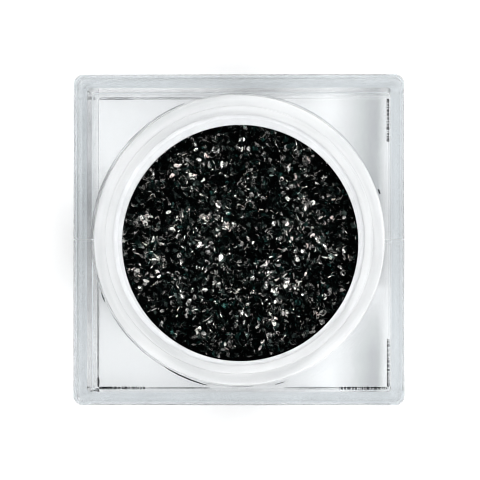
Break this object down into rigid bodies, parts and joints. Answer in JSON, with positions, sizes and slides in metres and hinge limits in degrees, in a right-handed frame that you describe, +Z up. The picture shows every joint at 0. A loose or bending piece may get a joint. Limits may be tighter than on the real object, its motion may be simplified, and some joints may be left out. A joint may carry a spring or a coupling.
{
  "type": "loose glitter eyeshadow jar",
  "caption": "Square clear-plastic jar of loose black glitter eyeshadow, with a round natural-plastic cup inside and a clear square lid that unscrews.",
  "frame": {"origin": "on the cup's axis, at the height of the base's resting rim", "axes": "+Z up along the cup's axis and the lid's screw axis; X and Y square to the jar's sides"},
  "size_m": [0.038, 0.038, 0.02],
  "materials": {
    "clear_base": "clear polished acrylic",
    "clear_lid": "clear polished acrylic",
    "natural_plastic": "satin, milky, lets some light through",
    "white_foam": "matt soft foam",
    "black_glitter": "loose glossy flakes, black with grey, dark teal and pale pink glints"
  },
  "bodies": {
    "base": {"base_shell": "clear_base", "base_plate": "clear_base", "inner_cup": "natural_plastic", "glitter_fill": "black_glitter"},
    "seal": {"seal_ring": "white_foam"},
    "lid": {"lid_shell": "clear_lid", "lid_collar": "natural_plastic"}
  },
  "joints": [
    {"name": "lid_rise", "type": "slide", "parent": "base", "child": "seal", "axis": [0, 0, 1], "range_m": [0, 0.008]},
    {"name": "lid_turn", "type": "hinge", "parent": "seal", "child": "lid", "pos_m": [0, 0, 0.015], "axis": [0, 0, 1], "range_deg": [0, 720]}
  ],
  "couplings": [
    {"joint": "lid_rise", "follows": "lid_turn", "m_per_rad": 0.00063662}
  ]
}
